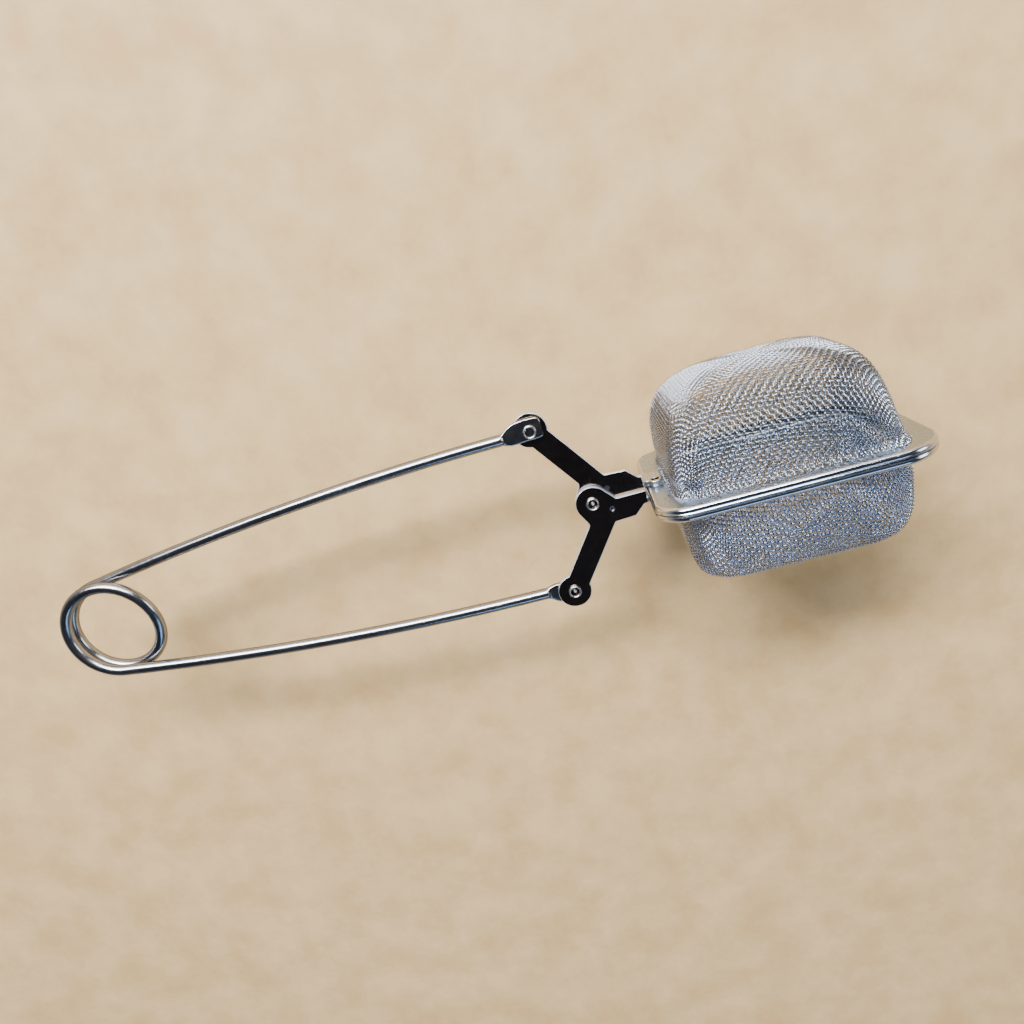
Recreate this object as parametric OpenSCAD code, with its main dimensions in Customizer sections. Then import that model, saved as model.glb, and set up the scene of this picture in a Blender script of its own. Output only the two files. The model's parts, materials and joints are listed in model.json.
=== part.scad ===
// Tea infuser tongs: a spring wire handle, two bell-crank levers on one pivot and two mesh
// half-baskets in stamped rims. Squeezing the handle opens the basket.
// +X runs from the handle to the basket, +Y is the way the upper half opens, +Z is along the
// rivets. Sizes are in millimetres and the middle of the bounding box is the origin.

/* [Handle] */
// distance from the middle rivet to the middle of the spring coil
coil_reach = 97; // [80:0.5:120]
// mean radius of the spring coil
coil_radius = 8.9; // [7:0.1:12]
// diameter of the handle wire
wire_diameter = 2.2; // [1.6:0.1:3]
// height of each arm above the middle line, beside its rivet
arm_height = 15.9; // [12:0.1:20]

/* [Levers] */
// distance of an arm's rivet behind the middle rivet
pin_back = 7.6; // [5:0.1:12]
// distance of an arm's rivet from the middle line
pin_side = 16.1; // [12:0.1:20]
// thickness of the lever plates
plate_thickness = 1.16; // [0.8:0.02:1.6]
// radius of the rounded lever ends
boss_radius = 3.2; // [2.5:0.1:4]
// width of the sloping arm of a lever
arm_width = 4.3; // [3:0.1:6]

/* [Basket] */
// distance from the middle rivet to the near end of the rims
rim_start = 10.1; // [9:0.1:14]
// length of a rim
rim_length = 47.9; // [40:0.1:60]
// width of a rim
rim_width = 41; // [34:0.5:50]
// height of one rim above the closing plane
rim_height = 1.3; // [1:0.1:2]
// thickness of the rim sheet
rim_sheet = 0.5; // [0.3:0.05:0.8]
// scale on the depth of the mesh halves
mesh_depth = 1; // [0.8:0.01:1.2]
// thickness of the mesh skin
mesh_skin = 0.5; // [0.4:0.05:0.8]

/* [Hidden] */
$fn = 64;
wire_radius = wire_diameter / 2;
// the coil's two strands lie this far either side of the middle plane
strand_z = 1.2;
// the levers and the flattened wire ends lie in two planes, either side of this half gap
plane_gap = 0.04;
plate_top = plane_gap + plate_thickness;
shank_radius = 1;
tight = 0.01;
running = 0.03;
// the upper arm's rivet needs this much play in the upper lever as the linkage moves
loose = 0.55;
pivot_x = (coil_reach + coil_radius + wire_radius - rim_start - rim_length) / 2;

// handle arm: one shallow arc, tangent to the coil and level beside its rivet
bow_reach = coil_reach - pin_back;
bow_radius = (pow(bow_reach, 2) + pow(arm_height, 2) - pow(coil_radius, 2))
    / (2 * (arm_height - coil_radius));
bow_centre_y = arm_height - bow_radius;
tangent_angle = atan2(-bow_centre_y, -bow_reach);
tangent_x = -coil_reach + coil_radius * cos(tangent_angle);
round_end_x = -13.2;
flat_start_x = -12.3;
round_end_angle = 90 + asin((-pin_back - round_end_x) / bow_radius);
paddle_z = plane_gap + plate_thickness / 2;
arm_tilt = atan2(strand_z + paddle_z, round_end_x - tangent_x);
cut_angle = 1.2;
cross_start = 60;
cross_half = (cross_start + tangent_angle) / 2;
cross_middle = cross_start - cross_half;
cross_tilt = asin(strand_z / (coil_radius * sin(cross_half)));

// lever outline
tongue_side = 2.4;
arm_dir = [-0.577, -0.817];
arm_normal = [0.817, -0.577];
left_corner = [-1.5, -3.9];
right_corner = [3.3, -4.5];
notch = [4.4, -0.1];
foot_end_x = 13.3;
foot_reach = 5;
foot_sink = 0.12;

// basket outline
rim_end = rim_start + rim_length;
left_r = 6.3;
right_r = 8.5;
edge_round = 0.75;
flange_left = 3.9;
flange_right = 4.1;
flange_side = 3;
mouth_r = 5;
half_gap = 0.06;
hem_low = 0.46;
hem_high = 0.78;
// skin profiles: height above the closing plane, how far the near end, far end and sides have
// drawn in there, and the corner radius; the hand-formed lower half is squarer and shallower
upper_profile = [[0.6, 0, 0.1, 0, 5], [4.2, 0, 1.2, 0, 5], [8.9, 0.2, 2.1, 0.1, 5.4],
    [11, 0.6, 2.5, 0.4, 5.8], [12.9, 1.2, 2.9, 1, 6.2], [14.6, 2.1, 3.5, 1.9, 6.6],
    [16.2, 3.4, 4.4, 3.3, 7], [17.3, 4.9, 5.5, 4.7, 7], [18.3, 7, 7.3, 6.8, 7],
    [18.9, 9.6, 9.8, 9.6, 6], [19.2, 14, 14, 13, 3.5]];
lower_profile = [[0.6, 0, 0, 0, 5], [4, 0.1, 0.1, 0, 5.4], [7.7, 0.3, 0.2, 0, 5.8],
    [9.5, 0.5, 0.3, 0.1, 6], [11.1, 0.7, 0.5, 0.2, 6.2], [12.6, 1, 0.9, 0.5, 6.4],
    [14, 1.5, 1.4, 1.1, 6.4], [15, 2.2, 2.1, 1.9, 6.4], [15.8, 3.4, 3.3, 3.2, 6.4],
    [16.4, 5.3, 5.3, 5.2, 6.4], [16.7, 10, 10, 10, 5.5]];

// a point just inside the hub circle, where a line from p would graze it on the given side
function graze(p, side) = let (r = 0.94 * boss_radius, a = atan2(p[1], p[0]) + side * acos(r / norm(p)))
    [r * cos(a), r * sin(a)];

module in_frame() {
    translate([pivot_x, 0, 0]) children();
}

// everything below the middle plane is the upper piece turned half a turn about X
module flipped() {
    rotate([180, 0, 0]) children();
}

// a piece of wire bent round Z
module wire_arc(radius, from, to) {
    rotate([0, 0, from]) rotate_extrude(angle = to - from) translate([radius, 0]) circle(wire_radius);
}

module coil() {
    translate([-coil_reach, 0, 0]) {
        translate([0, 0, strand_z]) wire_arc(coil_radius, cross_start, 360 - tangent_angle);
        rotate([0, 0, cross_middle]) rotate([cross_tilt, 0, 0])
            wire_arc(coil_radius, -cross_half, cross_half);
        translate([0, 0, -strand_z])
            wire_arc(coil_radius, tangent_angle + cut_angle, 360 - tangent_angle);
        for (end = [[cross_start, strand_z], [-tangent_angle, strand_z], [-tangent_angle, -strand_z]])
            rotate([0, 0, end[0]]) translate([coil_radius, 0, end[1]]) sphere(wire_radius);
    }
}

// the flattened wire end, with its rivet hole
module paddle(hole) {
    difference() {
        union() {
            translate([0, 0, plane_gap]) linear_extrude(plate_thickness)
                polygon([[flat_start_x, arm_height - 0.95], [-10.6, pin_side - 1.9],
                    [-9.6, pin_side - 2], [-5.7, pin_side - 1.6], [-5.3, pin_side - 1.2],
                    [-5.3, pin_side + 1.4], [-5.9, pin_side + 2.1], [-8.2, pin_side + 2.3],
                    [-10.4, pin_side + 1.9], [flat_start_x, arm_height + 0.95]]);
            hull() {
                translate([round_end_x - 0.1, arm_height, paddle_z]) rotate([0, 90, 0])
                    cylinder(h = 0.1, r = wire_radius, $fn = 32);
                translate([flat_start_x - 0.1, arm_height - 0.95, plane_gap])
                    cube([0.3, 1.9, plate_thickness]);
            }
        }
        translate([-pin_back, pin_side, 0]) cylinder(h = 4, r = hole, center = true);
    }
}

module upper_arm(hole) {
    translate([tangent_x, 0, -strand_z]) rotate([0, -arm_tilt, 0]) translate([-tangent_x, 0, 0])
        translate([-pin_back, bow_centre_y, 0]) wire_arc(bow_radius, round_end_angle, tangent_angle);
    paddle(hole);
}

module handle_wire_lower() {
    in_frame() {
        coil();
        flipped() upper_arm(shank_radius + tight);
    }
}

module handle_wire_upper() {
    in_frame() upper_arm(shank_radius + tight);
}

// the front plate: hub on the middle rivet, sloping arm to the lower rivet, tongue to the rim
module lever_outline() {
    end = [-pin_back, -pin_side];
    circle(boss_radius);
    translate(end) circle(boss_radius);
    polygon([graze(notch, 1), notch, [rim_start - 0.1, notch[1]],
        [rim_start - 0.1, -tongue_side], [9.2, -tongue_side - 0.1], [7.3, -4.3], right_corner,
        end + arm_width / 2 * arm_normal, end - arm_width / 2 * arm_normal, left_corner,
        graze(left_corner, -1), [0, 0]]);
}

// the bent foot that is welded to the rim's flange
module foot() {
    low = rim_height - foot_sink + 0.02;
    difference() {
        union() {
            translate([rim_start - 0.3, -tongue_side, -foot_reach + 1.2])
                cube([foot_end_x - rim_start + 0.3, tongue_side - low, plate_top + foot_reach - 1.2]);
            translate([rim_start + 0.9, -tongue_side, -foot_reach])
                cube([foot_end_x - rim_start - 2.1, tongue_side - low, 2]);
            for (x = [rim_start + 0.9, foot_end_x - 1.2])
                translate([x, -low, -foot_reach + 1.2]) rotate([90, 0, 0])
                    cylinder(h = tongue_side - low, r = 1.2);
        }
        // weld slot
        for (x = [11.5, 12.3]) translate([x, 0, -3.3]) rotate([90, 0, 0]) cylinder(h = 4, r = 0.35);
        translate([11.5, -4, -3.65]) cube([0.8, 4, 0.7]);
    }
}

module lever(pivot_hole, arm_hole) {
    difference() {
        union() {
            translate([0, 0, plane_gap]) linear_extrude(plate_thickness) lever_outline();
            foot();
        }
        cylinder(h = 4, r = pivot_hole, center = true);
        translate([-pin_back, -pin_side, 0]) cylinder(h = 4, r = arm_hole, center = true);
        // locating dimple
        translate([3.3, -1.9, plate_top - 0.25]) cylinder(h = 1, r1 = 0.3, r2 = 1.1);
    }
}

module lower_lever() {
    in_frame() lever(shank_radius + tight, shank_radius + running);
}

module upper_lever() {
    in_frame() flipped() lever(shank_radius + running, shank_radius + loose);
}

// tubular rivet: rolled ring in front, low head behind
module rivet(front, back) {
    difference() {
        union() {
            translate([0, 0, -plate_top - back]) cylinder(h = 2 * plate_top + front + back + 0.2,
                r = shank_radius);
            translate([0, 0, plate_top + front]) {
                cylinder(h = 0.3, r = 1.45);
                rotate_extrude() translate([1.07, 0.38]) circle(0.38, $fn = 32);
            }
            translate([0, 0, -plate_top - back]) {
                translate([0, 0, -0.3]) cylinder(h = 0.3, r = 2.2);
                translate([0, 0, -0.55]) cylinder(h = 0.25, r1 = 1.6, r2 = 2.2);
            }
        }
        translate([0, 0, plate_top + front - 0.6]) cylinder(h = 2, r = 0.68);
    }
}

module pivot_rivet() {
    in_frame() rivet(0, plane_gap);
}

module lower_arm_rivet() {
    in_frame() translate([-pin_back, -pin_side, 0]) rivet(plane_gap, 0);
}

module upper_arm_rivet() {
    in_frame() translate([-pin_back, pin_side, 0]) rivet(0, plane_gap);
}

// rounded rectangle, drawn in by the given amount
module plan(x0, x1, half, rl, rr) {
    translate([x0 + rl, -half]) square([x1 - x0 - rl - rr, 2 * half]);
    translate([x0, -half + rl]) square([rl + 0.01, 2 * (half - rl)]);
    translate([x1 - rr - 0.01, -half + rr]) square([rr + 0.01, 2 * (half - rr)]);
    for (s = [-1, 1]) {
        translate([x0 + rl, s * (half - rl)]) circle(rl);
        translate([x1 - rr, s * (half - rr)]) circle(rr);
    }
}

module rim_plan(inset) {
    plan(rim_start + inset, rim_end - inset, rim_width / 2 - inset, left_r - inset, right_r - inset);
}

module mouth_plan(near, far, side, radius) {
    plan(rim_start + flange_left + near, rim_end - flange_right - far,
        rim_width / 2 - flange_side - side, radius, radius);
}

// half-basket pieces are drawn flat, height along Z, then stood up so that height runs along +Y
module stood_up() {
    in_frame() rotate([-90, 0, 0]) children();
}

module hung_down() {
    in_frame() flipped() rotate([-90, 0, 0]) children();
}

module rounded_rim() {
    half = rim_width / 2;
    top = rim_height - edge_round;
    translate([0, 0, half_gap]) linear_extrude(top - half_gap) rim_plan(0);
    translate([0, 0, half_gap]) linear_extrude(rim_height - half_gap) rim_plan(edge_round);
    for (s = [-1, 1]) {
        translate([rim_start + left_r, s * (half - edge_round), top]) rotate([0, 90, 0])
            cylinder(h = rim_length - left_r - right_r, r = edge_round);
        translate([rim_start + left_r, s * (half - left_r), top])
            rotate([0, 0, s > 0 ? 90 : 180]) rotate_extrude(angle = 90)
                translate([left_r - edge_round, 0]) circle(edge_round);
        translate([rim_end - right_r, s * (half - right_r), top])
            rotate([0, 0, s > 0 ? 0 : 270]) rotate_extrude(angle = 90)
                translate([right_r - edge_round, 0]) circle(edge_round);
    }
    translate([rim_start + edge_round, -half + left_r, top]) rotate([-90, 0, 0])
        cylinder(h = rim_width - 2 * left_r, r = edge_round);
    translate([rim_end - edge_round, -half + right_r, top]) rotate([-90, 0, 0])
        cylinder(h = rim_width - 2 * right_r, r = edge_round);
}

module rim() {
    difference() {
        rounded_rim();
        translate([0, 0, -2]) linear_extrude(2 + half_gap) rim_plan(-1);
        translate([0, 0, -1]) linear_extrude(rim_height - rim_sheet + 1) rim_plan(rim_sheet);
        translate([0, 0, -1]) linear_extrude(rim_height + 2) mouth_plan(0, 0, 0, mouth_r);
        // pad coined down under the lever's foot
        translate([rim_start - 1, -foot_reach - 0.1, rim_height - foot_sink])
            cube([foot_end_x - rim_start + 1.1, foot_reach + plate_top + 0.2, 1]);
    }
}

module upper_rim() {
    stood_up() rim();
}

module lower_rim() {
    hung_down() rim();
}

module retaining_ring() {
    difference() {
        translate([0, 0, half_gap + 0.02]) linear_extrude(hem_low - half_gap - 0.04)
            rim_plan(rim_sheet + 0.05);
        translate([0, 0, -1]) linear_extrude(3) mouth_plan(0.25, 0.25, 0.25, mouth_r);
    }
}

module upper_retaining_ring() {
    stood_up() retaining_ring();
}

module lower_retaining_ring() {
    hung_down() retaining_ring();
}

// pillow shape: thin slices of the profile joined by one skin
module pillow(profile, inset, down) {
    hull() for (p = profile)
        translate([0, 0, p[0] * mesh_depth - down]) linear_extrude(0.02)
            mouth_plan(p[1] + inset, p[2] + inset, p[3] + inset, p[4] - inset, $fn = 32);
}

module mesh(profile) {
    inner = 0.05 + mesh_skin;
    difference() {
        union() {
            pillow(profile, 0.05, 0);
            translate([0, 0, hem_low]) linear_extrude(hem_high - hem_low)
                mouth_plan(-1.6, -1.6, -1.6, mouth_r + 1.5);
        }
        pillow(profile, inner, mesh_skin);
        translate([0, 0, -1]) linear_extrude(2.2) mouth_plan(inner, inner, inner, mouth_r);
    }
}

module upper_mesh() {
    stood_up() mesh(upper_profile);
}

module lower_mesh() {
    hung_down() mesh(lower_profile);
}

steel = [0.78, 0.78, 0.8];
plate = [0.35, 0.34, 0.36];
weave = [0.7, 0.72, 0.76];

color(steel) handle_wire_lower();
color(steel) handle_wire_upper();
color(plate) lower_lever();
color(plate) upper_lever();
color(steel) pivot_rivet();
color(steel) lower_arm_rivet();
color(steel) upper_arm_rivet();
color(steel) lower_rim();
color(steel) upper_rim();
color(steel) lower_retaining_ring();
color(steel) upper_retaining_ring();
color(weave) lower_mesh();
color(weave) upper_mesh();
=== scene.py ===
"""Looks of the tea infuser tongs. Lengths are in millimetres in the pivot frame (origin on the
middle rivet, +X to the basket, +Y the way the upper half opens, +Z along the rivets) and become
metres in the row frame when a mesh is made."""

import json
import math

import bpy
import numpy as np
from mathutils import Matrix, Vector


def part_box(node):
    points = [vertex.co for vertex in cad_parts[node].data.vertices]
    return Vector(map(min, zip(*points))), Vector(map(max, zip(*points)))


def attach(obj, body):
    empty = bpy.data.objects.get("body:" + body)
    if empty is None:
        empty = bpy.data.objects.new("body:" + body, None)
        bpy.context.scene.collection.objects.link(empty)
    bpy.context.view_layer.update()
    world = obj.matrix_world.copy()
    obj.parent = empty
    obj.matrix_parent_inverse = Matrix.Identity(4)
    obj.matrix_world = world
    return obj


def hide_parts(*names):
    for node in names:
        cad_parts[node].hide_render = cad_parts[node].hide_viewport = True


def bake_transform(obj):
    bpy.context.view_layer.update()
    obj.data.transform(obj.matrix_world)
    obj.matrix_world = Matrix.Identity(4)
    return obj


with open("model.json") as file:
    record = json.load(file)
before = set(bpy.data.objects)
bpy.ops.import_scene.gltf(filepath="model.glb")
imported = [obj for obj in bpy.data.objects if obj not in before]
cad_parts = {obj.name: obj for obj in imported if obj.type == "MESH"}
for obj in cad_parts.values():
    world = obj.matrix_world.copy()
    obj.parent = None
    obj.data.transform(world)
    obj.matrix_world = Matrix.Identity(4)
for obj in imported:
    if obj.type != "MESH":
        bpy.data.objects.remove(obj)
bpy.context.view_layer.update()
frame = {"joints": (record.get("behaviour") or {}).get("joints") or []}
PIVOT = np.array(frame["joints"][0]["pos_m"], float) * 1000
COIL = np.array(frame["joints"][2]["pos_m"], float) * 1000 - PIVOT
PIN = np.array(frame["joints"][1]["pos_m"], float) * 1000 - PIVOT


def node_box(node):
    """Lowest and highest corner of a CAD node in the pivot frame, in millimetres."""
    low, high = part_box(node)
    return np.array(low) * 1000 - PIVOT, np.array(high) * 1000 - PIVOT


# ---------------------------------------------------------------- sizes

WIRE_R = 1.1
WIRE_SIDES = 28
COIL_R = 8.9
COIL_X = COIL[0]
TURN_Z = 1.2  # height of the coil's front turn above the middle, and depth of the rear one below
CROSS_END = math.radians(60)  # where on the coil the wire has crossed from rear to front
PIN_X, PIN_Y = PIN[0], abs(PIN[1])
ARM_Y = 15.9  # how far out the arm's centreline is at the pin
PLANE_GAP, PLATE_Z = 0.04, 1.2  # inner and outer face of a lever plate
PLATE_MID = (PLANE_GAP + PLATE_Z) / 2
BOSS_R = 3.2
SHANK_HALF = 2.15  # half the width of a lever's shank at its far end
FOOT_Y = -2.4  # outer face of the lower lever's foot
DIMPLE = (3.3, -1.9)
DIMPLE_R = 0.36

RIM_LOW, RIM_HIGH = node_box("upper_rim")
RIM_X0, RIM_X1, RIM_HALF = RIM_LOW[0], RIM_HIGH[0], RIM_HIGH[2]
RIM_TOP = RIM_HIGH[1]
HALF_GAP = RIM_LOW[1]
SHEET = 0.5
NEAR_R, FAR_R = 6.3, 8.5  # the rim's corners at the levers' end and at the far end
MOUTH_NEAR, MOUTH_FAR, MOUTH_SIDE, MOUTH_R = 3.9, 4.1, 3.0, 5.0  # flange widths, corner radius
RING_TOP = 0.42

PITCH_X, PITCH_Z = 0.66, 0.80  # of the woven cloth
STRAND_R = 0.108
SQUARENESS = 7.0  # power of the curves that the cloth's level lines follow
LANES = 110  # strands tried on each side of the middle; those past the hem are dropped


# ---------------------------------------------------------------- mesh helpers

def flipped(points):
    """The lower piece: the upper one turned half a turn about X."""
    return np.asarray(points, float) * (1, -1, -1)


def to_row(points):
    """Millimetres in the pivot frame to metres in the row frame."""
    return (np.asarray(points, float) + PIVOT) * 0.001


def make(name, points, faces, sharp=35):
    """A mesh object from points in the pivot frame. Bends past sharp degrees stay edges."""
    mesh = bpy.data.meshes.new(name)
    mesh.from_pydata(to_row(points).tolist(), [], faces)
    mesh.validate()
    mesh.polygons.foreach_set("use_smooth", [True] * len(mesh.polygons))
    mesh.set_sharp_from_angle(angle=math.radians(sharp))
    obj = bpy.data.objects.new(name, mesh)
    bpy.context.scene.collection.objects.link(obj)
    return obj


def grid_faces(rows, cols, close_rows=False):
    """Quads over rows of cols points each, numbered row by row. Each row is a closed ring."""
    faces = []
    for r in range(rows if close_rows else rows - 1):
        for c in range(cols):
            a, b = r * cols + c, r * cols + (c + 1) % cols
            d, e = ((r + 1) % rows) * cols + c, ((r + 1) % rows) * cols + (c + 1) % cols
            faces.append((a, b, e, d))
    return faces


def tube(path, radius):
    """Points and faces of a round bar along a path, open at both ends."""
    path = np.asarray(path, float)
    tangent = np.gradient(path, axis=0)
    tangent /= np.linalg.norm(tangent, axis=1)[:, None]
    up = np.array([0, 0, 1.0]) - tangent * tangent[:, 2:3]
    up /= np.linalg.norm(up, axis=1)[:, None]
    level = np.cross(up, tangent)
    angles = np.linspace(0, 2 * math.pi, WIRE_SIDES, endpoint=False)
    across, lift = radius * np.cos(angles)[:, None], radius * np.sin(angles)[:, None]
    points = np.array([path[i] + across * level[i] + lift * up[i] for i in range(len(path))])
    return points.reshape(-1, 3), grid_faces(len(path), len(angles))


def lathe(profile, centre, turns=48):
    """Points and faces of a profile of (radius, z) turned about an axis along Z."""
    a = np.linspace(0, 2 * math.pi, turns, endpoint=False)
    points = [
        (centre[0] + r * math.cos(t), centre[1] + r * math.sin(t), z)
        for r, z in profile for t in a
    ]
    return points, grid_faces(len(profile), turns)


def joined(parts):
    """Several (points, faces) as one."""
    points, faces, start = [], [], 0
    for p, f in parts:
        points.extend(np.asarray(p, float).tolist())
        faces.extend(tuple(i + start for i in face) for face in f)
        start += len(p)
    return points, faces


def arc(centre, radius, start, end, steps):
    """Points on a level arc, angles in radians."""
    t = np.linspace(start, end, steps)
    return np.c_[centre[0] + radius * np.cos(t), centre[1] + radius * np.sin(t)]


# ---------------------------------------------------------------- materials

def metal(name, colour, rough, rough_spread, grain, bump, stretch=(1, 1, 1), tint=0.06, edge=1.0):
    """Polished or brushed metal: uneven roughness, fine scratches and a slight change of tone.
    edge below 1 darkens what is seen at a glancing angle."""
    mat = bpy.data.materials.new(name)
    mat.use_nodes = True
    nodes, links = mat.node_tree.nodes, mat.node_tree.links
    shader = nodes["Principled BSDF"]
    shader.inputs["Metallic"].default_value = 1.0
    shader.inputs["Specular Tint"].default_value = (edge, edge, edge, 1)
    place = nodes.new("ShaderNodeTexCoord")
    mapping = nodes.new("ShaderNodeMapping")
    mapping.inputs["Scale"].default_value = stretch
    links.new(place.outputs["Object"], mapping.inputs["Vector"])

    fine = nodes.new("ShaderNodeTexNoise")
    fine.inputs["Scale"].default_value = grain
    fine.inputs["Detail"].default_value = 6
    links.new(mapping.outputs["Vector"], fine.inputs["Vector"])
    broad = nodes.new("ShaderNodeTexNoise")
    broad.inputs["Scale"].default_value = 120
    broad.inputs["Detail"].default_value = 3
    links.new(place.outputs["Object"], broad.inputs["Vector"])

    spread = nodes.new("ShaderNodeMapRange")
    spread.inputs["From Min"].default_value = 0.3
    spread.inputs["From Max"].default_value = 0.7
    spread.inputs["To Min"].default_value = rough - rough_spread
    spread.inputs["To Max"].default_value = rough + rough_spread
    mix = nodes.new("ShaderNodeMath")
    mix.operation = "MULTIPLY_ADD"
    mix.inputs[1].default_value = 0.5
    half = nodes.new("ShaderNodeMath")
    half.operation = "MULTIPLY"
    half.inputs[1].default_value = 0.5
    links.new(broad.outputs["Fac"], half.inputs[0])
    links.new(fine.outputs["Fac"], mix.inputs[0])
    links.new(half.outputs["Value"], mix.inputs[2])
    links.new(mix.outputs["Value"], spread.inputs["Value"])
    links.new(spread.outputs["Result"], shader.inputs["Roughness"])

    tone = nodes.new("ShaderNodeMix")
    tone.data_type = "RGBA"
    tone.inputs["A"].default_value = (*[c * (1 - tint) for c in colour], 1)
    tone.inputs["B"].default_value = (*[min(1, c * (1 + tint)) for c in colour], 1)
    links.new(broad.outputs["Fac"], tone.inputs["Factor"])
    links.new(tone.outputs["Result"], shader.inputs["Base Color"])

    bumps = nodes.new("ShaderNodeBump")
    bumps.inputs["Strength"].default_value = bump
    bumps.inputs["Distance"].default_value = 0.0001
    links.new(fine.outputs["Fac"], bumps.inputs["Height"])
    links.new(bumps.outputs["Normal"], shader.inputs["Normal"])
    return mat


def paper():
    """The pale, faintly fibrous sheet the tongs lie on."""
    mat = bpy.data.materials.new("floor_paper")
    mat.use_nodes = True
    nodes, links = mat.node_tree.nodes, mat.node_tree.links
    shader = nodes["Principled BSDF"]
    shader.inputs["Roughness"].default_value = 0.75
    place = nodes.new("ShaderNodeTexCoord")
    noise = nodes.new("ShaderNodeTexNoise")
    noise.inputs["Scale"].default_value = 90
    noise.inputs["Detail"].default_value = 10
    noise.inputs["Roughness"].default_value = 0.65
    links.new(place.outputs["Object"], noise.inputs["Vector"])
    tone = nodes.new("ShaderNodeMix")
    tone.data_type = "RGBA"
    tone.inputs["A"].default_value = (0.53, 0.345, 0.15, 1)
    tone.inputs["B"].default_value = (0.65, 0.45, 0.22, 1)
    mottle = nodes.new("ShaderNodeMapRange")
    mottle.inputs["From Min"].default_value = 0.36
    mottle.inputs["From Max"].default_value = 0.64
    links.new(noise.outputs["Fac"], mottle.inputs["Value"])
    links.new(mottle.outputs["Result"], tone.inputs["Factor"])
    links.new(tone.outputs["Result"], shader.inputs["Base Color"])
    return mat


WIRE_STEEL = metal("wire_steel", (0.33, 0.34, 0.37), 0.23, 0.05, 900, 0.12, edge=0.15)
# Dark steel of the levers' faces, also used as painted shade in the foot's slot and in the rivets'
# bores.
PLATE_FACE_AND_PAINTED_SHADE = metal("plate_face_and_painted_shade", (0.20, 0.155, 0.14), 0.16, 0.05, 700, 0.06)
# Painted highlight: bluish white steel for the levers' edges, far lighter than the faces of the same
# sheet.
PLATE_EDGE_PAINTED_HIGHLIGHT = metal("plate_edge_painted_highlight", (0.70, 0.80, 0.95), 0.50, 0.08, 1500, 0.15, (0.2, 0.2, 1))
PADDLE_STEEL = metal("paddle_steel", (0.36, 0.36, 0.37), 0.20, 0.06, 800, 0.10)
RIVET_STEEL = metal("rivet_steel", (0.66, 0.67, 0.66), 0.28, 0.08, 2500, 0.25)
# Painted light: the levers' feet are the plates' own sheet, painted a lighter grey for the light they
# catch on top of the rim.
FOOT_STEEL_PAINTED_LIGHT = metal("foot_steel_painted_light", (0.46, 0.49, 0.52), 0.30, 0.08, 1800, 0.4)
RIM_STEEL = metal("rim_steel", (0.54, 0.57, 0.64), 0.17, 0.05, 500, 0.08)
# Painted shade: a darker, bluer copy of the rim steel for the flange's flat faces, standing in for the
# dark reflection they show.
FLANGE_STEEL_PAINTED_SHADE = metal("flange_steel_painted_shade", (0.31, 0.38, 0.48), 0.28, 0.08, 900, 0.12)
# Painted highlight: near white steel for the lower retaining ring, so that its rolled bead shows as a
# bright line.
RING_STEEL_PAINTED_HIGHLIGHT = metal("ring_steel_painted_highlight", (0.90, 0.91, 0.93), 0.38, 0.06, 600, 0.10)
# Dark rough steel on the levers' dimples, and painted shade on the upper retaining ring.
DULL_STEEL_AND_PAINTED_SHADE = metal("dull_steel_and_painted_shade", (0.17, 0.18, 0.20), 0.30, 0.06, 600, 0.10)
MESH_STEEL = metal("mesh_steel", (0.33, 0.37, 0.44), 0.15, 0.04, 1200, 0.10)
# Painted light: a bluer, lighter copy of the mesh steel for the lower half, standing in for the blue
# light its strands reflect.
MESH_STEEL_PAINTED_BLUE_LIGHT = metal("mesh_steel_painted_blue_light", (0.42, 0.49, 0.62), 0.15, 0.04, 1200, 0.10)


def dress(obj, material, body, slot, *stands_for):
    """Material and CAD body of a piece, and the CAD nodes it is shown in place of. slot is not used.
    """
    obj.data.materials.append(material)
    if body:
        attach(obj, body)
    if stands_for:
        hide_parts(*stands_for)


def paint(obj, material, chosen):
    """A second material on the faces that chosen(centre in the pivot frame, normal) picks."""
    obj.data.materials.append(material)
    index = len(obj.data.materials) - 1
    for p in obj.data.polygons:
        if chosen(np.array(p.center) * 1000 - PIVOT, p.normal):
            p.material_index = index


# ---------------------------------------------------------------- handle wire

REACH = PIN_X - COIL_X
BOW_R = (REACH**2 + ARM_Y**2 - COIL_R**2) / (2 * (ARM_Y - COIL_R))
BOW_Y = ARM_Y - BOW_R
TANGENT = math.atan2(-BOW_Y, -REACH)
TANGENT_X = COIL_X + COIL_R * math.cos(TANGENT)
ROUND_END = -13.2
FLAT_END = -5.3


def arm_path(steps):
    """The upper arm's centreline from its paddle to the coil."""
    start = math.pi / 2 + math.asin((PIN_X - ROUND_END) / BOW_R)
    flat = arc((PIN_X, BOW_Y), BOW_R, start, TANGENT, steps)
    share = (flat[:, 0] - TANGENT_X) / (ROUND_END - TANGENT_X)
    return np.c_[flat, -TURN_Z + share * (TURN_Z + PLATE_MID)]


def coil_path():
    """From the upper arm round the coil, across it and round again to the lower arm."""
    turn = 2 * math.pi
    rear = np.c_[arc((COIL_X, 0), COIL_R, TANGENT, turn - TANGENT, 44), np.full(44, -TURN_Z)]
    share = np.linspace(0, 1, 44)
    ease = share * share * (3 - 2 * share)
    cross = np.c_[
        arc((COIL_X, 0), COIL_R, -TANGENT, CROSS_END, 44), -TURN_Z + 2 * TURN_Z * ease
    ]
    front = np.c_[
        arc((COIL_X, 0), COIL_R, CROSS_END, turn - TANGENT, 60), np.full(60, TURN_Z)
    ]
    return np.vstack([rear, cross[1:-1], front])


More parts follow.
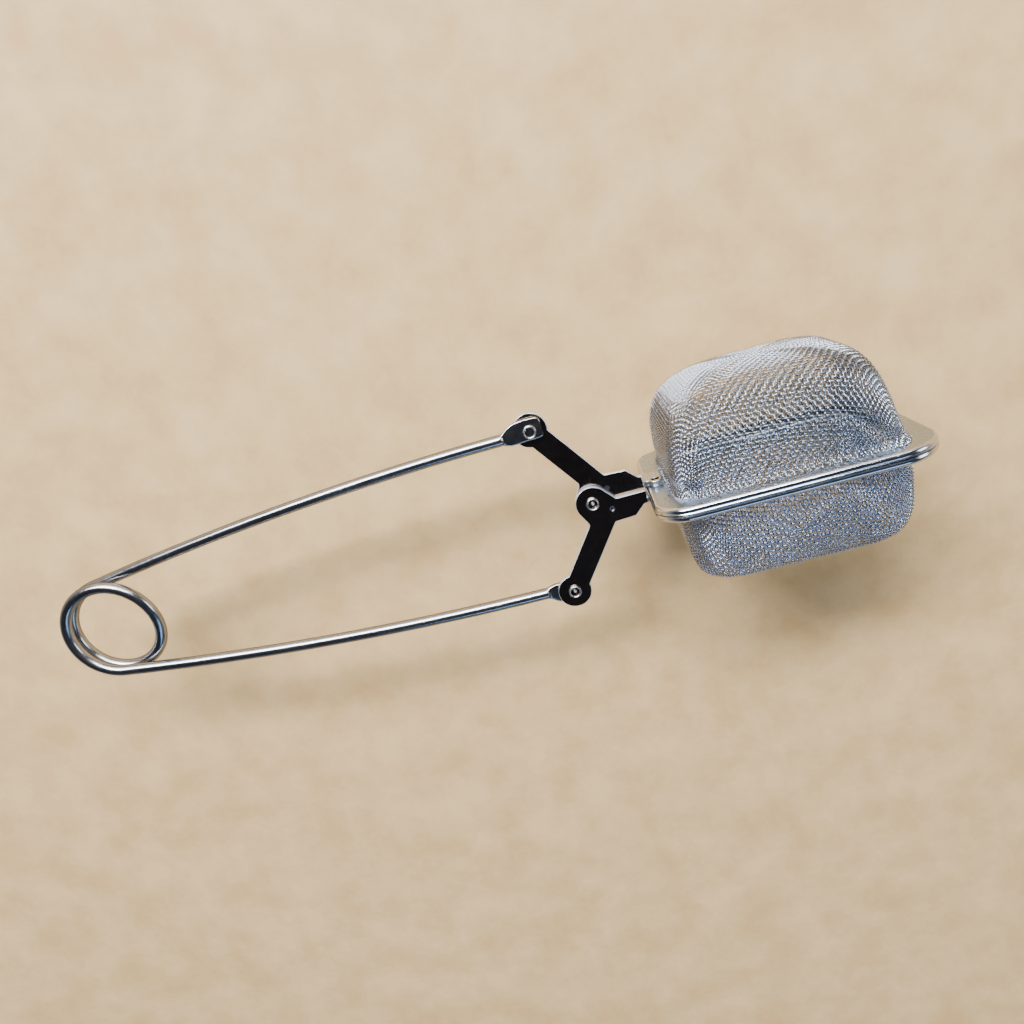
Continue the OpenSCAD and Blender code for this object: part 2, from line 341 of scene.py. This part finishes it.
def paddle(flip):
    """The flattened wire end. Its outline's top and bottom follow x, its section turns from round
    to a flat bar with soft edges."""
    stations = [
        # x, top, bottom, half thickness, squareness
        (ROUND_END, ARM_Y + 1.1, ARM_Y - 1.1, 1.1, 2.0),
        (-12.95, ARM_Y + 1.12, ARM_Y - 1.12, 1.08, 2.1),
        (-12.75, ARM_Y + 1.16, ARM_Y - 1.16, 0.88, 2.6),
        (-12.55, ARM_Y + 1.22, ARM_Y - 1.2, 0.68, 3.6),
        (-12.3, ARM_Y + 1.36, ARM_Y - 1.28, 0.60, 5.5),
        (-11.4, PIN_Y + 1.75, PIN_Y - 1.7, 0.58, 8),
        (-10.3, PIN_Y + 2.2, PIN_Y - 1.7, 0.58, 9),
        (-9.3, PIN_Y + 2.36, PIN_Y - 1.6, 0.58, 9),
        (-8.2, PIN_Y + 2.42, PIN_Y - 1.55, 0.58, 9),
        (-6.8, PIN_Y + 2.4, PIN_Y - 1.52, 0.58, 9),
        (-6.0, PIN_Y + 2.32, PIN_Y - 1.48, 0.58, 9),
        (-5.62, PIN_Y + 2.12, PIN_Y - 1.4, 0.58, 9),
        (-5.42, PIN_Y + 1.8, PIN_Y - 1.25, 0.56, 8),
        (FLAT_END, PIN_Y + 1.4, PIN_Y - 1.0, 0.52, 7),
    ]
    angles = np.linspace(0, 2 * math.pi, WIRE_SIDES, endpoint=False)
    points = []
    for x, top, bottom, half, power in stations:
        c, s = np.cos(angles), np.sin(angles)
        y = (top + bottom) / 2 + (top - bottom) / 2 * np.sign(c) * np.abs(c) ** (2 / power)
        z = PLATE_MID + half * np.sign(s) * np.abs(s) ** (2 / power)
        points += np.c_[np.full(WIRE_SIDES, x), y, z].tolist()
    faces = grid_faces(len(stations), WIRE_SIDES)
    faces.append(tuple(range(len(points) - WIRE_SIDES, len(points))))
    points = np.array(points)
    return (flipped(points) if flip else points), faces


def handle_wire():
    """The whole wire as one piece, bent across the coil."""
    upper = arm_path(90)
    lower = flipped(upper)[::-1]
    path = np.vstack([upper, coil_path()[1:-1], lower])
    obj = make("handle_wire", *tube(path, WIRE_R), sharp=50)
    dress(obj, WIRE_STEEL, None, "wire", "handle_wire_lower", "handle_wire_upper")
    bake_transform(obj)


handle_wire()
dress(make("upper_paddle", *paddle(False), sharp=40), PADDLE_STEEL, "upper_arm", "wire")
dress(make("lower_paddle", *paddle(True), sharp=40), PADDLE_STEEL, "handle", "wire")


# ---------------------------------------------------------------- levers

def filleted(points, radii, steps=5):
    """A closed outline with the named corners rounded. radii maps a point's index to its radius."""
    points, out = [np.array(p, float) for p in points], []
    for i, p in enumerate(points):
        r = radii.get(i, 0)
        if not r:
            out.append(p)
            continue
        a, b = points[i - 1] - p, points[(i + 1) % len(points)] - p
        a, b = a / np.linalg.norm(a), b / np.linalg.norm(b)
        half = math.acos(np.clip(a @ b, -1, 1)) / 2
        reach = r / math.tan(half)
        for t in np.linspace(0, 1, steps):
            out.append((1 - t) ** 2 * (p + a * reach) + 2 * t * (1 - t) * p + t * t * (p + b * reach))
    return out


def circle_entry(line_start, line_end, centre, radius):
    """Where a line running into a circle meets it."""
    d = (line_end - line_start) / np.linalg.norm(line_end - line_start)
    m = line_start - centre
    b = m @ d
    return line_start + d * (-b - math.sqrt(b * b - m @ m + radius**2))


def lever_outline():
    """Outline of the lower lever, anticlockwise."""
    end = np.array([PIN_X, -PIN_Y])
    along = end / np.linalg.norm(end)
    across = np.array([-along[1], along[0]])
    notch, left, right = np.array([4.4, -0.1]), np.array([-1.5, -3.9]), np.array([3.3, -4.5])
    hub_from = math.atan2(notch[1], notch[0]) + math.acos(BOSS_R / np.linalg.norm(notch))
    hub_to = math.atan2(left[1], left[0]) - math.acos(BOSS_R / np.linalg.norm(left)) + 2 * math.pi
    enter = circle_entry(left, end - across * SHANK_HALF, end, BOSS_R)
    leave = circle_entry(right, end + across * SHANK_HALF, end, BOSS_R)
    end_from = math.atan2(*(enter - end)[::-1])
    end_to = math.atan2(*(leave - end)[::-1])
    if end_to < end_from:
        end_to += 2 * math.pi
    tongue = RIM_X0 - 0.1
    outline = [notch]
    outline += list(arc((0, 0), BOSS_R, hub_from, hub_to, 40))
    corner_left = len(outline)
    outline.append(left)
    outline += list(arc(end, BOSS_R, end_from, end_to, 40))
    corner_right = len(outline)
    outline += [right, (7.3, -4.3), (9.2, -2.5), (tongue, FOOT_Y), (tongue, -0.1)]
    radii = {0: 0.4, corner_left: 0.8, corner_right: 0.5, corner_right + 1: 0.4, corner_right + 2: 0.6}
    return filleted(outline, radii)


def stamped(name, outline, holes, low, high, edge=0.14, flip=False, upright=False):
    """A plate with softened edges from a level outline. upright turns its thickness along Y."""
    curve = bpy.data.curves.new(name, "CURVE")
    curve.dimensions, curve.fill_mode = "2D", "BOTH"
    curve.extrude = (high - low) / 2 - edge
    curve.bevel_depth, curve.bevel_resolution, curve.offset = edge, 2, -edge
    for loop in [outline, *holes]:
        spline = curve.splines.new("POLY")
        spline.points.add(len(loop) - 1)
        for point, (x, y) in zip(spline.points, loop):
            point.co = (x, y, 0, 1)
        spline.use_cyclic_u = True
    shape = bpy.data.objects.new(name, curve)
    bpy.context.scene.collection.objects.link(shape)
    mesh = bpy.data.meshes.new_from_object(shape.evaluated_get(bpy.context.evaluated_depsgraph_get()))
    bpy.data.objects.remove(shape)
    points = np.array([v.co for v in mesh.vertices], float) + (0, 0, (low + high) / 2)
    faces = [tuple(p.vertices) for p in mesh.polygons]
    if upright:
        points = points[:, [0, 2, 1]]
        faces = [f[::-1] for f in faces]
    if flip:
        points = flipped(points)
    return points, faces


def hole(x, y, radius):
    """A round hole's outline."""
    return arc((x, y), radius, 0, 2 * math.pi, 33)[:-1]


def lever(name, body, flip, pivot_hole, arm_hole):
    """A lever: the plate with its holes, the dimple's floor, and the foot that clasps the rim."""
    plate = stamped(
        name, lever_outline(),
        [hole(0, 0, pivot_hole), hole(PIN_X, -PIN_Y, arm_hole), hole(*DIMPLE, DIMPLE_R)],
        PLANE_GAP, PLATE_Z, flip=flip,
    )
    dimple_floor = PLATE_Z - 0.25
    dimple = [(0.001, dimple_floor), (0.3, dimple_floor), (0.38, dimple_floor + 0.06),
              (0.38, PLANE_GAP + 0.15), (0.52, PLANE_GAP), (0.001, PLANE_GAP)]
    points, faces = lathe(dimple, DIMPLE, turns=24)
    plug = (flipped(points) if flip else points), [f[::-1] for f in faces]
    foot_start, step_x, foot_end = RIM_X0 - 0.25, 11.0, 13.3
    step_z, foot_z = -3.8, -5.0
    foot = filleted(
        [(foot_start, PLATE_Z), (foot_start, step_z), (step_x, step_z), (step_x, foot_z),
         (foot_end, foot_z), (foot_end, PLATE_Z)],
        {0: 0.2, 1: 0.3, 2: 0.4, 3: 0.9, 4: 1.2, 5: 1.0},
    )
    slot_x, slot_z = (11.4, 12.8), (-4.0, -2.7)
    slot = filleted([(slot_x[0], slot_z[0]), (slot_x[1], slot_z[0]), (slot_x[1], slot_z[1]),
                     (slot_x[0], slot_z[1])], {i: 0.4 for i in range(4)})
    pad = stamped(
        name, foot, [slot], FOOT_Y, -RIM_TOP - 0.01, edge=0.18, flip=flip, upright=True
    )
    obj = make(name, *joined([plate, plug, pad]), sharp=30)
    dress(obj, PLATE_FACE_AND_PAINTED_SHADE, body, "plate", name)
    side = -1 if flip else 1
    joint_x = RIM_X0 - 0.2
    # Painted highlight: the plate's sideways faces, its edges and hole walls, are painted bluish
    # white.
    paint(obj, PLATE_EDGE_PAINTED_HIGHLIGHT, lambda c, n: c[0] < joint_x and abs(n[2]) < 0.9)
    # Painted light: the foot past the bend is painted lighter than the rest of the plate.
    paint(obj, FOOT_STEEL_PAINTED_LIGHT, lambda c, n: c[0] > joint_x)
    # The dimple and its hole get the dark rough steel.
    paint(obj, DULL_STEEL_AND_PAINTED_SHADE, lambda c, n: math.hypot(c[0] - DIMPLE[0], c[1] * side - DIMPLE[1]) < 0.55)
    # Painted shade: the walls inside the foot's slot get the dark face steel.
    paint(obj, PLATE_FACE_AND_PAINTED_SHADE, lambda c, n: (
        abs(c[0] - sum(slot_x) / 2) < 0.75 and abs(c[2] * side - sum(slot_z) / 2) < 0.7
    ))


lever("lower_lever", "lower_half", False, 1.03, 1.05)
lever("upper_lever", "upper_half", True, 1.05, 1.55)


# ---------------------------------------------------------------- rivets

def rivet(name, body, centre, front, back):
    """A tubular rivet: rolled ring in front, low domed head behind. front and back are the gaps
    between the plates and its two ends."""
    top, low = PLATE_Z + front, -PLATE_Z - back
    ring_r, bead_r, head_r, head_side = 1.04, 0.17, 2.2, 0.14
    ring = [(ring_r + bead_r * math.cos(a), top + 0.36 + bead_r * math.sin(a))
            for a in np.linspace(-0.7, 3.1, 12)]
    head = [(head_r, low), (head_r, low - head_side)]
    head += [(head_r - 0.25 * (1 - math.cos(a)) - 0.6 * a, low - head_side - 0.4 * math.sin(a))
             for a in np.linspace(0.2, 1.5, 7)]
    head = [(0.001, low - 0.55), *head[::-1]]
    shank = [(1.0, low), (1.0, top), (1.22, top)]
    bore = [(0.84, top + 0.1), (0.76, top - 0.4), (0.45, top - 0.46), (0.36, top - 0.2),
            (0.25, top - 0.1), (0.001, top - 0.08)]
    points, faces = lathe([*head, *shank, *ring, *bore], centre)
    obj = make(name, points, [f[::-1] for f in faces], sharp=50)
    dress(obj, RIVET_STEEL, body, "rivet", name)
    # Painted shade: the faces inside the rolled end and the bore get the dark face steel.
    paint(obj, PLATE_FACE_AND_PAINTED_SHADE, lambda c, n: c[2] > 0 and 0.42 < math.hypot(*(c[:2] - centre)) < 0.86)


rivet("pivot_rivet", "lower_half", (0, 0), 0, PLANE_GAP)
rivet("lower_arm_rivet", "handle", (PIN_X, -PIN_Y), PLANE_GAP, 0)
rivet("upper_arm_rivet", "upper_arm", (PIN_X, PIN_Y), 0, PLANE_GAP)


# ---------------------------------------------------------------- rims and retaining rings

def loop(near, far, side, near_r, far_r, height, corner=14):
    """A rounded rectangle round the basket: how far each side is drawn in from the rim's outside."""
    x0, x1, half = RIM_X0 + near, RIM_X1 - far, RIM_HALF - side
    quarter = math.pi / 2
    flat = np.vstack([
        arc((x1 - far_r, half - far_r), far_r, 0, quarter, corner),
        arc((x0 + near_r, half - near_r), near_r, quarter, 2 * quarter, corner),
        arc((x0 + near_r, -half + near_r), near_r, 2 * quarter, 3 * quarter, corner),
        arc((x1 - far_r, -half + far_r), far_r, 3 * quarter, 4 * quarter, corner),
    ])
    return np.c_[flat[:, 0], np.full(len(flat), height), flat[:, 1]]


def outside(inset, height):
    """The rim's outer outline, drawn in by inset."""
    return loop(inset, inset, inset, NEAR_R - inset, FAR_R - inset, height)


def mouth(inset, height):
    """The outline of the opening that the mesh comes through, drawn in by inset."""
    return loop(
        MOUTH_NEAR + inset, MOUTH_FAR + inset, MOUTH_SIDE + inset, MOUTH_R - inset,
        MOUTH_R - inset, height,
    )


def loft(loops, flip):
    """A closed ring through loops, the last joined to the first."""
    points = np.vstack(loops)
    faces = grid_faces(len(loops), len(loops[0]), close_rows=True)
    return (flipped(points) if flip else points), faces


def rim(name, body, flip):
    """Stamped channel: flat flange, rounded shoulder, short skirt and a rolled lip."""
    bend = 0.72
    shoulder = [outside(bend - bend * math.sin(a), RIM_TOP - bend + bend * math.cos(a))
                for a in np.linspace(0, math.pi / 2, 9)]
    lip = [outside(0.0, 0.40), outside(0.03, 0.34), outside(0.05, 0.28), outside(0.0, 0.2),
           outside(0.03, 0.11), outside(0.12, HALF_GAP), outside(0.3, HALF_GAP), outside(0.42, 0.14)]
    inner = [outside(SHEET, 0.3), outside(SHEET + 0.02, RIM_TOP - SHEET - 0.1),
             outside(SHEET + 0.15, RIM_TOP - SHEET)]
    edge = [mouth(-0.12, RIM_TOP - SHEET), mouth(0, RIM_TOP - SHEET + 0.1), mouth(0, RIM_TOP - 0.1),
            mouth(-0.04, RIM_TOP - 0.03), mouth(-0.12, RIM_TOP), mouth(-1.2, RIM_TOP)]
    obj = make(name, *loft([*shoulder, *lip, *inner, *edge], flip), sharp=40)
    dress(obj, RIM_STEEL, body, "rim", name)
    # Painted shade: the flat faces of the same sheet are painted darker and bluer.
    paint(obj, FLANGE_STEEL_PAINTED_SHADE, lambda c, n: abs(n[1]) > 0.97)


def retaining_ring(name, body, flip):
    """Flat ring inside the channel, with its inner edge rolled to a bead."""
    low, high, soft = HALF_GAP + 0.02, RING_TOP, 0.08
    out, bead = SHEET + 0.07, 0.22
    loops = [outside(out + soft, low), outside(out, low + soft), outside(out, high - soft),
             outside(out + soft, high)]
    loops += [mouth(0.4 + bead * math.sin(a), low + bead * (1 + math.cos(a)))
              for a in np.linspace(0, math.pi, 9)]
    obj = make(name, *loft(loops, flip), sharp=40)
    # The rings are alike: the lower one is painted near white as a highlight, the upper one dark as
    # painted shade.
    dress(obj, RING_STEEL_PAINTED_HIGHLIGHT if flip else DULL_STEEL_AND_PAINTED_SHADE, body, "rim", name)


for half, flip in (("upper", False), ("lower", True)):
    rim(f"{half}_rim", f"{half}_half", flip)
    retaining_ring(f"{half}_retaining_ring", f"{half}_half", flip)


# ---------------------------------------------------------------- woven mesh

# height above the closing plane, how far the near end, far end and sides have drawn in there,
# and the corner radius
UPPER_DOME = [
    (4.2, 0, 1.2, 0, 5), (8.9, 0.2, 2.1, 0.1, 5.4), (11, 0.6, 2.5, 0.4, 5.8),
    (12.9, 1.2, 2.9, 1, 6.2), (14.6, 2.1, 3.5, 1.9, 6.6), (16.2, 3.4, 4.4, 3.3, 7),
    (17.3, 4.9, 5.5, 4.7, 7), (18.3, 7, 7.3, 6.8, 7), (18.9, 9.6, 9.8, 9.6, 6),
    (19.2, 14, 14, 13, 3.5),
]
LOWER_DOME = [
    (4, 0.1, 0.1, 0, 5.4), (7.7, 0.3, 0.2, 0, 5.8), (9.5, 0.5, 0.3, 0.1, 6),
    (11.1, 0.7, 0.5, 0.2, 6.2), (12.6, 1, 0.9, 0.5, 6.4), (14, 1.5, 1.4, 1.1, 6.4),
    (15, 2.2, 2.1, 1.9, 6.4), (15.8, 3.4, 3.3, 3.2, 6.4), (16.4, 5.3, 5.3, 5.2, 6.4),
    (16.7, 10, 10, 10, 5.5),
]
SKIN = 0.32  # middle of the weave inside the CAD skin
HEM_SKIN, HEM_TOP = 0.12, 1.5  # the same at the hem, and the height where the hem ends
CROWN_DROP = 0.25  # how far the weave's crown lies below the CAD's
HEM = [(0.62, -1.5, -1.5, -1.5, 6.5), (0.62, -0.35, -0.35, -0.35, 5.35), (0.8, -0.1, -0.1, -0.1, 5),
       (1.3, -0.05, -0.05, -0.05, 5), (2.0, 0.15, 0.3, 0.15, 5), (3.0, 0.3, 0.8, 0.3, 5)]


class Dome:
    """Maps a flat cloth onto the dome. Cloth coordinates are millimetres from the middle: the
    first runs along X, the second along Z."""

    def __init__(self, rows):
        peak = rows[-1][0]
        mid = (MOUTH_FAR - MOUTH_NEAR) / 2
        half_x = (RIM_X1 - RIM_X0 - MOUTH_NEAR - MOUTH_FAR) / 2
        half_z = RIM_HALF - MOUTH_SIDE
        self.middle = (RIM_X0 + RIM_X1) / 2 - mid
        table = []
        for h, near, far, side, r in [*HEM, *rows]:
            skin = SKIN if h > HEM_TOP else HEM_SKIN + 0.2 * max(0, h - HEM[0][0]) / 0.9
            drop = 0 if h < HEM_TOP else CROWN_DROP * min(1, h / 8)
            table.append((h - drop, half_x - near - skin, half_x - far - skin, half_z - side - skin,
                          max(r - skin, 1)))
        h, near, far, side, r = table[-1]
        for share in (0.5, 0.15, 0.01):  # the nearly flat crown, in to its middle
            table.append((peak - CROWN_DROP + 0.06 * (1 - share), near * share, far * share,
                          side * share, r * share))
        table = np.array(table)[::-1]
        run = np.r_[0, np.cumsum(np.linalg.norm(np.diff(table[:, [0, 3]], axis=0), axis=1))]
        fine = np.linspace(0, run[-1], 160)
        self.rows = np.c_[tuple(np.interp(fine, run, table[:, k]) for k in range(5))]
        for _ in range(6):
            self.rows[1:-1] = (self.rows[:-2] + 2 * self.rows[1:-1] + self.rows[2:]) / 4
        height, near, far, side, _ = self.rows.T
        self.near_run = self.run_down(height, near)
        self.far_run = self.run_down(height, far)
        self.side_run = self.run_down(height, side)

    @staticmethod
    def run_down(height, reach):
        """Distance along a wall from the crown's middle, for each row."""
        return np.r_[0, np.cumsum(np.hypot(np.diff(height), np.diff(reach)))] + reach[0]

    @staticmethod
    def packed(t, straight, corner, last):
        """Distance along a wall's edge for a cloth distance t: even in the middle, closing up
        towards the corner. last is the cloth distance that reaches the middle of the corner."""
        even = 0.25 * straight
        space, cloth = straight + corner - even, np.maximum(last - even, 1e-6)
        share = np.clip(space / cloth, 0.05, 0.999)
        x = 3 * (1 - share)
        for _ in range(30):
            x = x - (share * x - 1 + np.exp(-x)) / (share - np.exp(-x) + 1e-9)
            x = np.clip(x, 1e-4, 30)
        beyond = np.maximum(t - even, 0)
        squeezed = space * (1 - np.exp(-x * beyond / cloth)) / (1 - np.exp(-x))
        return np.where(t < even, t, even + squeezed)

    def place(self, s, t):
        """Points on the dome for cloth coordinates s and t."""
        s, t = np.asarray(s, float), np.asarray(t, float)
        ends = np.where((s < 0)[:, None], self.near_run[None], self.far_run[None])
        level = (
            (np.abs(s)[:, None] / ends) ** SQUARENESS
            + (np.abs(t)[:, None] / self.side_run[None]) ** SQUARENESS
        )
        over = level <= 1
        first = np.argmax(over, axis=1)
        first = np.where(over.any(axis=1), first, len(self.side_run) - 1)
        before = np.maximum(first - 1, 0)
        n = np.arange(len(s))
        high, low = level[n, before], level[n, first]
        share = np.where(first > 0, np.clip((high - 1) / np.maximum(high - low, 1e-9), 0, 1), 0)
        row = self.rows[before] * (1 - share)[:, None] + self.rows[first] * share[:, None]
        end_run = ends[n, before] * (1 - share) + ends[n, first] * share
        side_run = self.side_run[before] * (1 - share) + self.side_run[first] * share
        h, near, far, half_z, r = row.T
        half_x = np.where(s < 0, near, far)
        r = np.minimum(r, np.minimum(half_x, half_z) * 0.98)
        a, b = np.abs(s) / end_run, np.abs(t) / side_run
        diagonal = 2 ** (-1 / SQUARENESS)
        corner = math.pi / 4 * r
        on_end = a >= b
        along_end = self.packed(np.minimum(np.abs(t), diagonal * side_run), half_z - r, corner,
                                diagonal * side_run)
        along_side = self.packed(np.minimum(np.abs(s), diagonal * end_run), half_x - r, corner,
                                 diagonal * end_run)
        turn_end = np.clip((along_end - (half_z - r)) / r, 0, None)
        turn_side = math.pi / 2 - np.clip((along_side - (half_x - r)) / r, 0, None)
        turn = np.where(on_end, turn_end, turn_side)
        x = half_x - r + r * np.cos(turn)
        z = half_z - r + r * np.sin(turn)
        x = np.where(~on_end & (along_side < half_x - r), along_side, x)
        z = np.where(on_end & (along_end < half_z - r), along_end, z)
        return np.c_[self.middle + np.sign(s) * x, h, np.sign(t) * z]


def weave(rows, flip, skew, curl):
    """The two families of strands as (points, faces): along X, and along Z. skew and curl say how
    the strands along X run askew over the dome."""
    dome = Dome(rows)
    near, far, side_run = dome.near_run[-1], dome.far_run[-1], dome.side_run[-1]
    sides, per_cell = 4, 2  # a strand's section, and its rings from one crossing to the next
    nudge = 0.05
    section = np.linspace(0, 2 * math.pi, sides, endpoint=False) + math.pi / 4
    families = []
    for along_x in (True, False):
        step, across = (PITCH_X, PITCH_Z) if along_x else (PITCH_Z, PITCH_X)
        crimp = STRAND_R * (0.7 if along_x else 1.4)
        parts = []
        for lane in range(-LANES, LANES + 1):
            run = np.arange(-LANES * per_cell, LANES * per_cell + 1) * step / per_cell
            fixed = np.full(len(run), (lane + 0.003) * across)
            s, v = (run, fixed) if along_x else (fixed, run)
            t = v + skew * s + curl * s * s
            ends = np.where(s < 0, near, far)
            inside = (np.abs(s) / ends) ** SQUARENESS + (np.abs(t) / side_run) ** SQUARENESS < 1
            if inside.sum() < 8:
                continue
            s, t, run = s[inside], t[inside], run[inside]
            base = dome.place(s, t)
            ds = dome.place(s + nudge, t) - dome.place(s - nudge, t)
            dt = dome.place(s, t + nudge) - dome.place(s, t - nudge)
            normal = np.cross(dt, ds)
            normal /= np.maximum(np.linalg.norm(normal, axis=1), 1e-9)[:, None]
            wave = np.cos(math.pi * run / step) * (-1) ** (lane % 2) * (1 if along_x else -1)
            calm = np.clip((base[:, 1] - 0.6) / 0.6, 0.3, 1)
            path = base + normal * (wave * calm * crimp)[:, None]
            tangent = np.gradient(path, axis=0)
            tangent /= np.maximum(np.linalg.norm(tangent, axis=1), 1e-9)[:, None]
            level = np.cross(normal, tangent)
            level /= np.maximum(np.linalg.norm(level, axis=1), 1e-9)[:, None]
            up = np.cross(tangent, level)
            rings = path[:, None] + STRAND_R * (
                np.cos(section)[None, :, None] * level[:, None]
                + np.sin(section)[None, :, None] * up[:, None]
            )
            points = rings.reshape(-1, 3)
            faces = [f[::-1] for f in grid_faces(len(path), sides)]
            faces += [tuple(range(sides)), tuple(range(len(points) - sides, len(points)))[::-1]]
            parts.append((flipped(points) if flip else points, faces))
        families.append(joined(parts))
    return families


for half, flip, rows, skew, curl in (
    ("upper", False, UPPER_DOME, 0.16, 0.0048), ("lower", True, LOWER_DOME, 0.20, 0.0),
):
    lengthwise, crosswise = weave(rows, flip, skew, curl)
    body = f"{half}_half"
    # Painted light: the lower half's cloth is the same, painted bluer and lighter.
    steel = MESH_STEEL_PAINTED_BLUE_LIGHT if flip else MESH_STEEL
    dress(make(f"{half}_mesh_long_strands", *lengthwise, sharp=180), steel, body, "mesh",
          f"{half}_mesh")
    dress(make(f"{half}_mesh_cross_strands", *crosswise, sharp=180), steel, body, "mesh")


# ---------------------------------------------------------------- floor, lights and camera

def floor():
    """A level sheet, just clear of the rim."""
    half, z = 4000, -RIM_HALF - 0.05
    corners = [(-half, -half, z), (half, -half, z), (half, half, z), (-half, half, z)]
    obj = make("floor", corners, [(0, 1, 2, 3)])
    obj.data.materials.append(paper())


def softbox(name, direction, distance, width, depth, energy, colour):
    """A large area light that faces the middle of the tongs. Lengths here are in metres."""
    light = bpy.data.lights.new(name, "AREA")
    light.shape, light.size, light.size_y = "RECTANGLE", width, depth
    light.energy, light.color = energy, colour
    lamp = bpy.data.objects.new(name, light)
    d = Vector(direction).normalized()
    lamp.location = d * distance
    lamp.rotation_euler = d.to_track_quat("Z", "Y").to_euler()
    bpy.context.scene.collection.objects.link(lamp)


def room():
    """Surroundings that go from pale at the horizon to dark overhead."""
    world = bpy.data.worlds.new("room")
    world.use_nodes = True
    nodes, links = world.node_tree.nodes, world.node_tree.links
    place = nodes.new("ShaderNodeTexCoord")
    split = nodes.new("ShaderNodeSeparateXYZ")
    links.new(place.outputs["Generated"], split.inputs["Vector"])
    ramp = nodes.new("ShaderNodeValToRGB")
    low, high = ramp.color_ramp.elements
    low.position, low.color = 0.02, (0.56, 0.57, 0.58, 1)
    high.position, high.color = 0.42, (0.035, 0.04, 0.05, 1)
    links.new(split.outputs["Z"], ramp.inputs["Fac"])
    links.new(ramp.outputs["Color"], nodes["Background"].inputs["Color"])
    bpy.context.scene.world = world


def camera(eye, target, roll):
    """Camera at eye that looks at target, turned by roll degrees about its line of sight."""
    data = bpy.data.cameras.new("camera")
    data.sensor_width, data.lens = 36, 28.56
    data.shift_x, data.shift_y = -0.0355, 0.0209
    data.clip_start, data.clip_end = 0.01, 20
    obj = bpy.data.objects.new("camera", data)
    turn = (Vector(target) - Vector(eye)).to_track_quat("-Z", "Y").to_matrix().to_4x4()
    obj.matrix_world = (
        Matrix.Translation(to_row(eye).tolist()) @ turn
        @ Matrix.Rotation(math.radians(roll), 4, "Z")
    )
    bpy.context.scene.collection.objects.link(obj)
    bpy.context.scene.camera = obj


floor()
softbox("key_light", (-0.08, 0.66, 0.68), 0.52, 0.5, 0.10, 5.5, (1.0, 0.97, 0.94))
softbox("room_light", (-0.30, 0.80, 0.72), 2.6, 1.9, 0.6, 100.0, (1.0, 0.97, 0.94))
softbox("back_light", (0.1, 0.94, 0.33), 0.8, 1.0, 0.16, 3.5, (0.85, 0.93, 1.0))
softbox("fill_light", (0.2, -0.70, 0.70), 0.9, 0.8, 0.25, 1.7, (0.42, 0.66, 1.0))
softbox("right_light", (0.95, 0.1, 0.4), 0.9, 0.4, 0.3, 2.5, (0.9, 0.95, 1.0))
room()
camera((4.0, 45.06, 144.95), (-9.575, -3.787, 0), -179.868)
